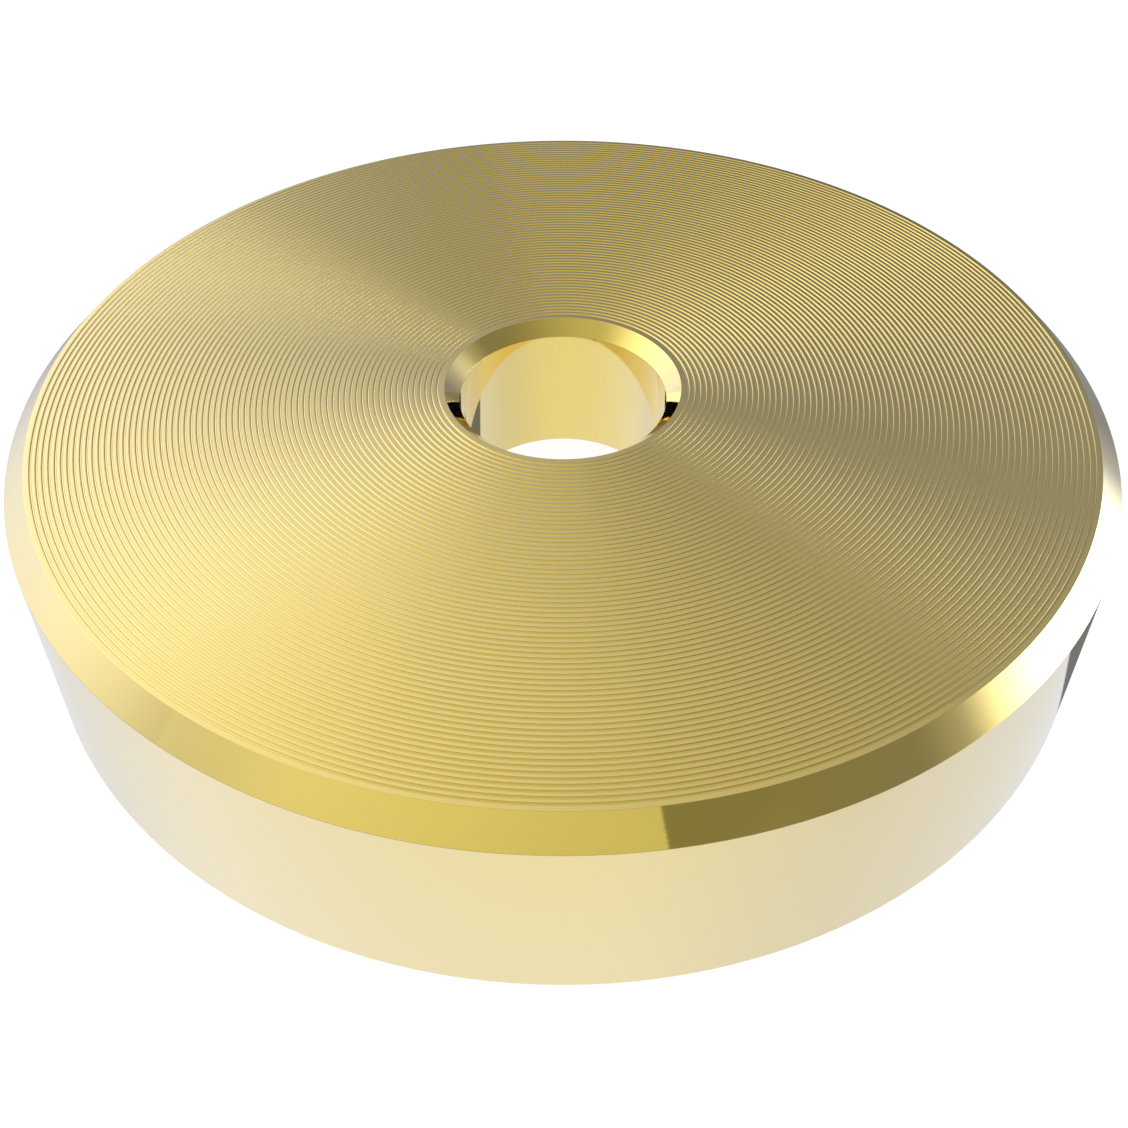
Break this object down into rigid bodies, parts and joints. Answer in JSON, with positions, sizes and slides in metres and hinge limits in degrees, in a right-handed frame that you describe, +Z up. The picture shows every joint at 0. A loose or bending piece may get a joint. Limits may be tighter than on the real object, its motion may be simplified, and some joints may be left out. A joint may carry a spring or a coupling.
{
  "type": "record spindle adapter",
  "caption": "Turned brass disc with a chamfered rim, fine ring grooves over its top face and a central bore, which centres a large-hole record on a turntable's spindle.",
  "frame": {"origin": "centre of the disc in the plane of its foot", "axes": "+Z up along the bore's axis, from the foot to the ringed top face; X and Y lie in the foot plane, and the picture is taken from the -Y side"},
  "size_m": [0.0382, 0.0382, 0.0073],
  "materials": {
    "turned_brass": "polished wall and chamfers, fine ring-turned top face"
  },
  "bodies": {
    "root": {"adapter_body": "turned_brass"}
  },
  "joints": []
}
